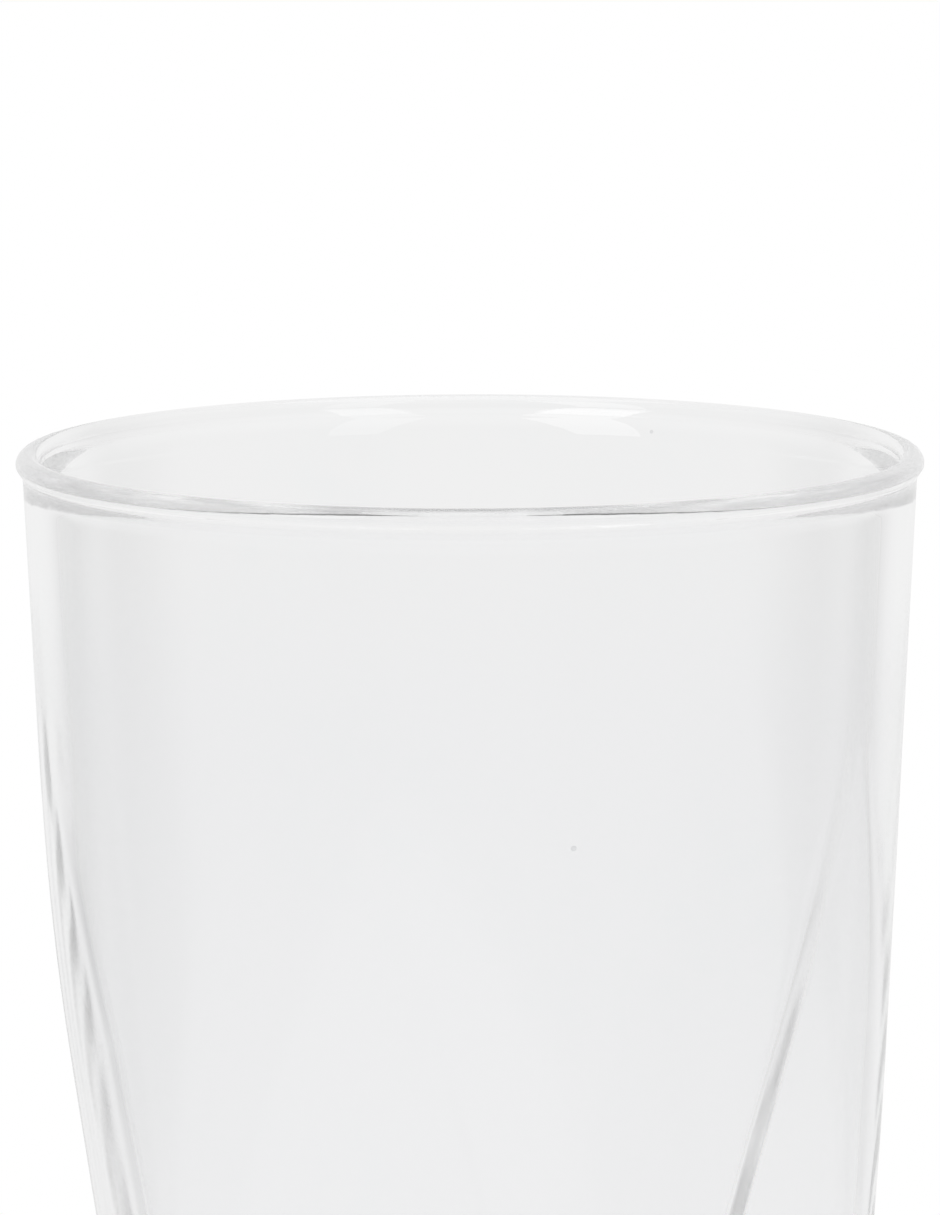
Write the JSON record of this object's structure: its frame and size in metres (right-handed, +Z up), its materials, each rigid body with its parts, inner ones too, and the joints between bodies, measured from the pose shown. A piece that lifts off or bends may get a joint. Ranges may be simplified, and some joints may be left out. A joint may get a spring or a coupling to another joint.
{
  "type": "highball glass",
  "caption": "Clear highball glass with a round beaded rim, a tapered wall and broad arched facets that turn it into a polygonal foot; holds a long drink.",
  "frame": {"origin": "centre of the foot, on the plane of the surface that the glass stands on", "axes": "+Z up along the glass's axis, -Y towards the side that the picture shows, +X to its right"},
  "size_m": [0.08, 0.08, 0.132],
  "materials": {
    "clear_glass": "fire-polished"
  },
  "bodies": {
    "root": {"glass_body": "clear_glass"}
  },
  "joints": []
}
